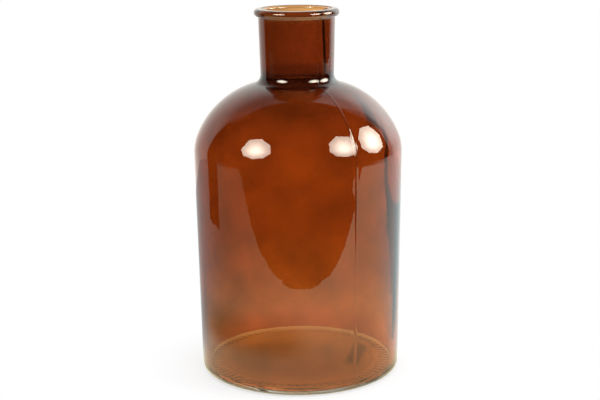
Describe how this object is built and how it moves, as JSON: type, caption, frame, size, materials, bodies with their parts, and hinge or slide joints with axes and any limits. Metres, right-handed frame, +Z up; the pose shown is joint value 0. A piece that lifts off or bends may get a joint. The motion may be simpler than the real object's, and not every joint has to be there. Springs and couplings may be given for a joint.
{
  "type": "reagent bottle",
  "caption": "Round-shouldered apothecary bottle of blown glass with a straight open neck, a rolled lip and an amber film sprayed over its outside.",
  "frame": {"origin": "middle of the ring that the bottle stands on, at floor level", "axes": "+Z up along the axis of the bottle; -Y is the side that the picture shows"},
  "size_m": [0.1406, 0.1406, 0.2473],
  "materials": {
    "clear_glass": "clear, slightly grey-green recycled glass, fire-polished",
    "amber_lacquer": "transparent amber lacquer, glossy, faintly uneven"
  },
  "bodies": {
    "root": {"glass_bottle": "clear_glass", "amber_coat": "amber_lacquer"}
  },
  "joints": []
}
